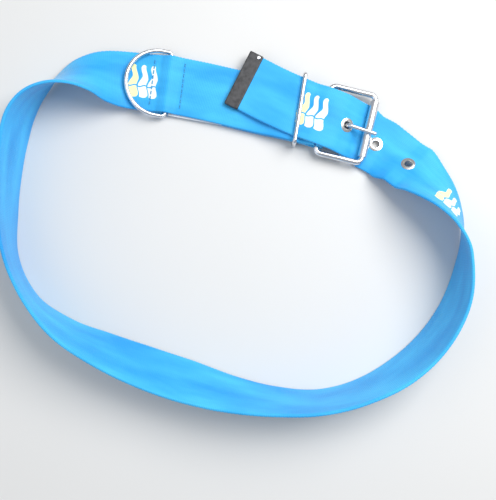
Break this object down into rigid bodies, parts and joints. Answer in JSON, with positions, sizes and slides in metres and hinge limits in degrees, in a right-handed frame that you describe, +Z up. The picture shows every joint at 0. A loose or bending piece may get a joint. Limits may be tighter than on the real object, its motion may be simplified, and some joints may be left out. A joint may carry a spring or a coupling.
{
  "type": "dive weight belt",
  "caption": "Buckled loop of webbing with a roller buckle and prong, metal eyelets, a sliding wire keeper, a sewn-in D-ring and a capped tip.",
  "frame": {"origin": "bottom centre of the belt's bounding box, on the surface that it lies on", "axes": "+X along the buckle, from the D-ring end towards the roller; +Y from the loop's opening towards the buckle; +Z up"},
  "size_m": [0.3858, 0.2908, 0.0492],
  "materials": {
    "nylon_webbing": "woven nylon with a soft sheen",
    "tip_rubber": "matt black",
    "label_tape": "white woven tape",
    "thread": "bonded thread",
    "stainless_steel": "polished stainless wire",
    "eyelet_metal": "nickel plated"
  },
  "bodies": {
    "belt": {"strap_webbing": "nylon_webbing", "strap_tip": "tip_rubber", "tip_rivet": "stainless_steel", "end_label": "label_tape", "d_ring_stitching": "thread", "eyelet_1": "eyelet_metal", "eyelet_2": "eyelet_metal", "eyelet_3": "eyelet_metal", "eyelet_washer_1": "eyelet_metal", "eyelet_washer_2": "eyelet_metal", "eyelet_washer_3": "eyelet_metal", "buckle_frame": "stainless_steel"},
    "roller": {"buckle_roller": "stainless_steel"},
    "prong": {"buckle_prong": "stainless_steel"},
    "keeper": {"keeper_loop": "stainless_steel"},
    "ring": {"d_ring": "stainless_steel"}
  },
  "joints": [
    {"name": "roller_spin", "type": "hinge", "parent": "belt", "child": "roller", "pos_m": [0.08943, 0.10491, 0.00764], "axis": [0, 1, 0], "continuous": true},
    {"name": "prong_lift", "type": "hinge", "parent": "belt", "child": "prong", "pos_m": [0.05092, 0.10491, 0.00764], "axis": [0, -1, 0], "range_deg": [0, 1]},
    {"name": "keeper_slide", "type": "slide", "parent": "belt", "child": "keeper", "axis": [1, 0, 0], "range_m": [-0.003, 0.0015]},
    {"name": "d_ring_swing", "type": "hinge", "parent": "belt", "child": "ring", "pos_m": [-0.08157, 0.10231, 0.00489], "axis": [-0.1219, 0.9925, 0], "range_deg": [0, 150]}
  ]
}
